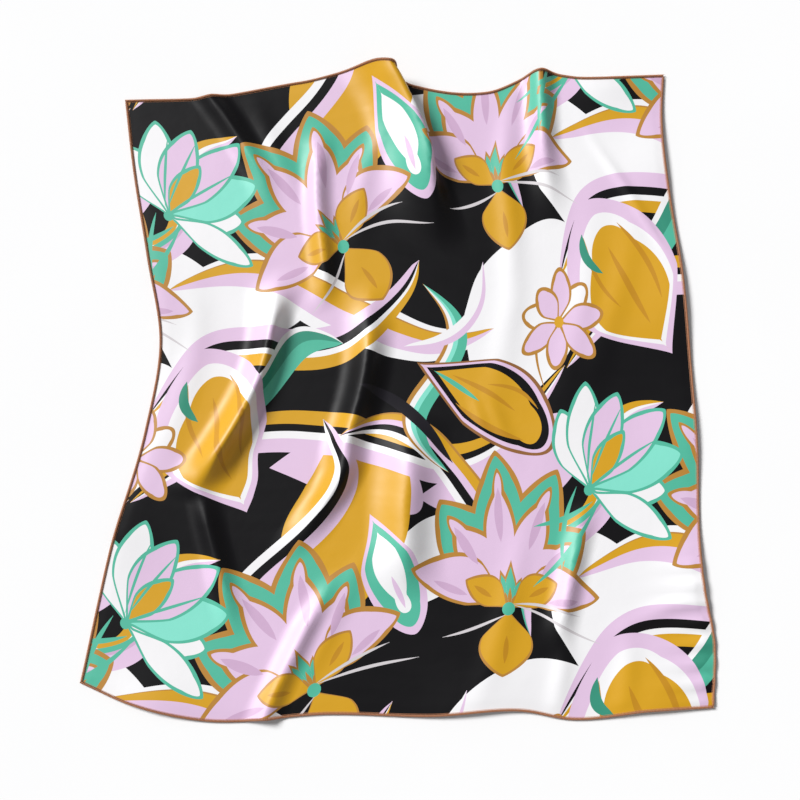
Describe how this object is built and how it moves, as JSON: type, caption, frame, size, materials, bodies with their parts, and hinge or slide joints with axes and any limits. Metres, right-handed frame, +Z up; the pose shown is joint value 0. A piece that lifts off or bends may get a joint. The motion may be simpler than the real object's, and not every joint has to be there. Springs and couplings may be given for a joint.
{
  "type": "silk square scarf",
  "caption": "Printed silk-satin square scarf with narrow rolled and overstitched hems, laid loosely in soft folds on a table, printed face up.",
  "frame": {"origin": "on the table, under the middle of the laid cloth's bounding box", "axes": "+Z up from the table, through the cloth's thin direction; +Y along the laid cloth's longest side, towards the hem with the tall pleat; +X to the right when looking down with +Y away"},
  "size_m": [0.5181, 0.5516, 0.0268],
  "materials": {
    "silk": "satin",
    "hem_thread": "matte"
  },
  "bodies": {
    "root": {"panel": "silk", "hem_top": "hem_thread", "hem_bottom": "hem_thread", "hem_left": "hem_thread", "hem_right": "hem_thread"}
  },
  "joints": []
}
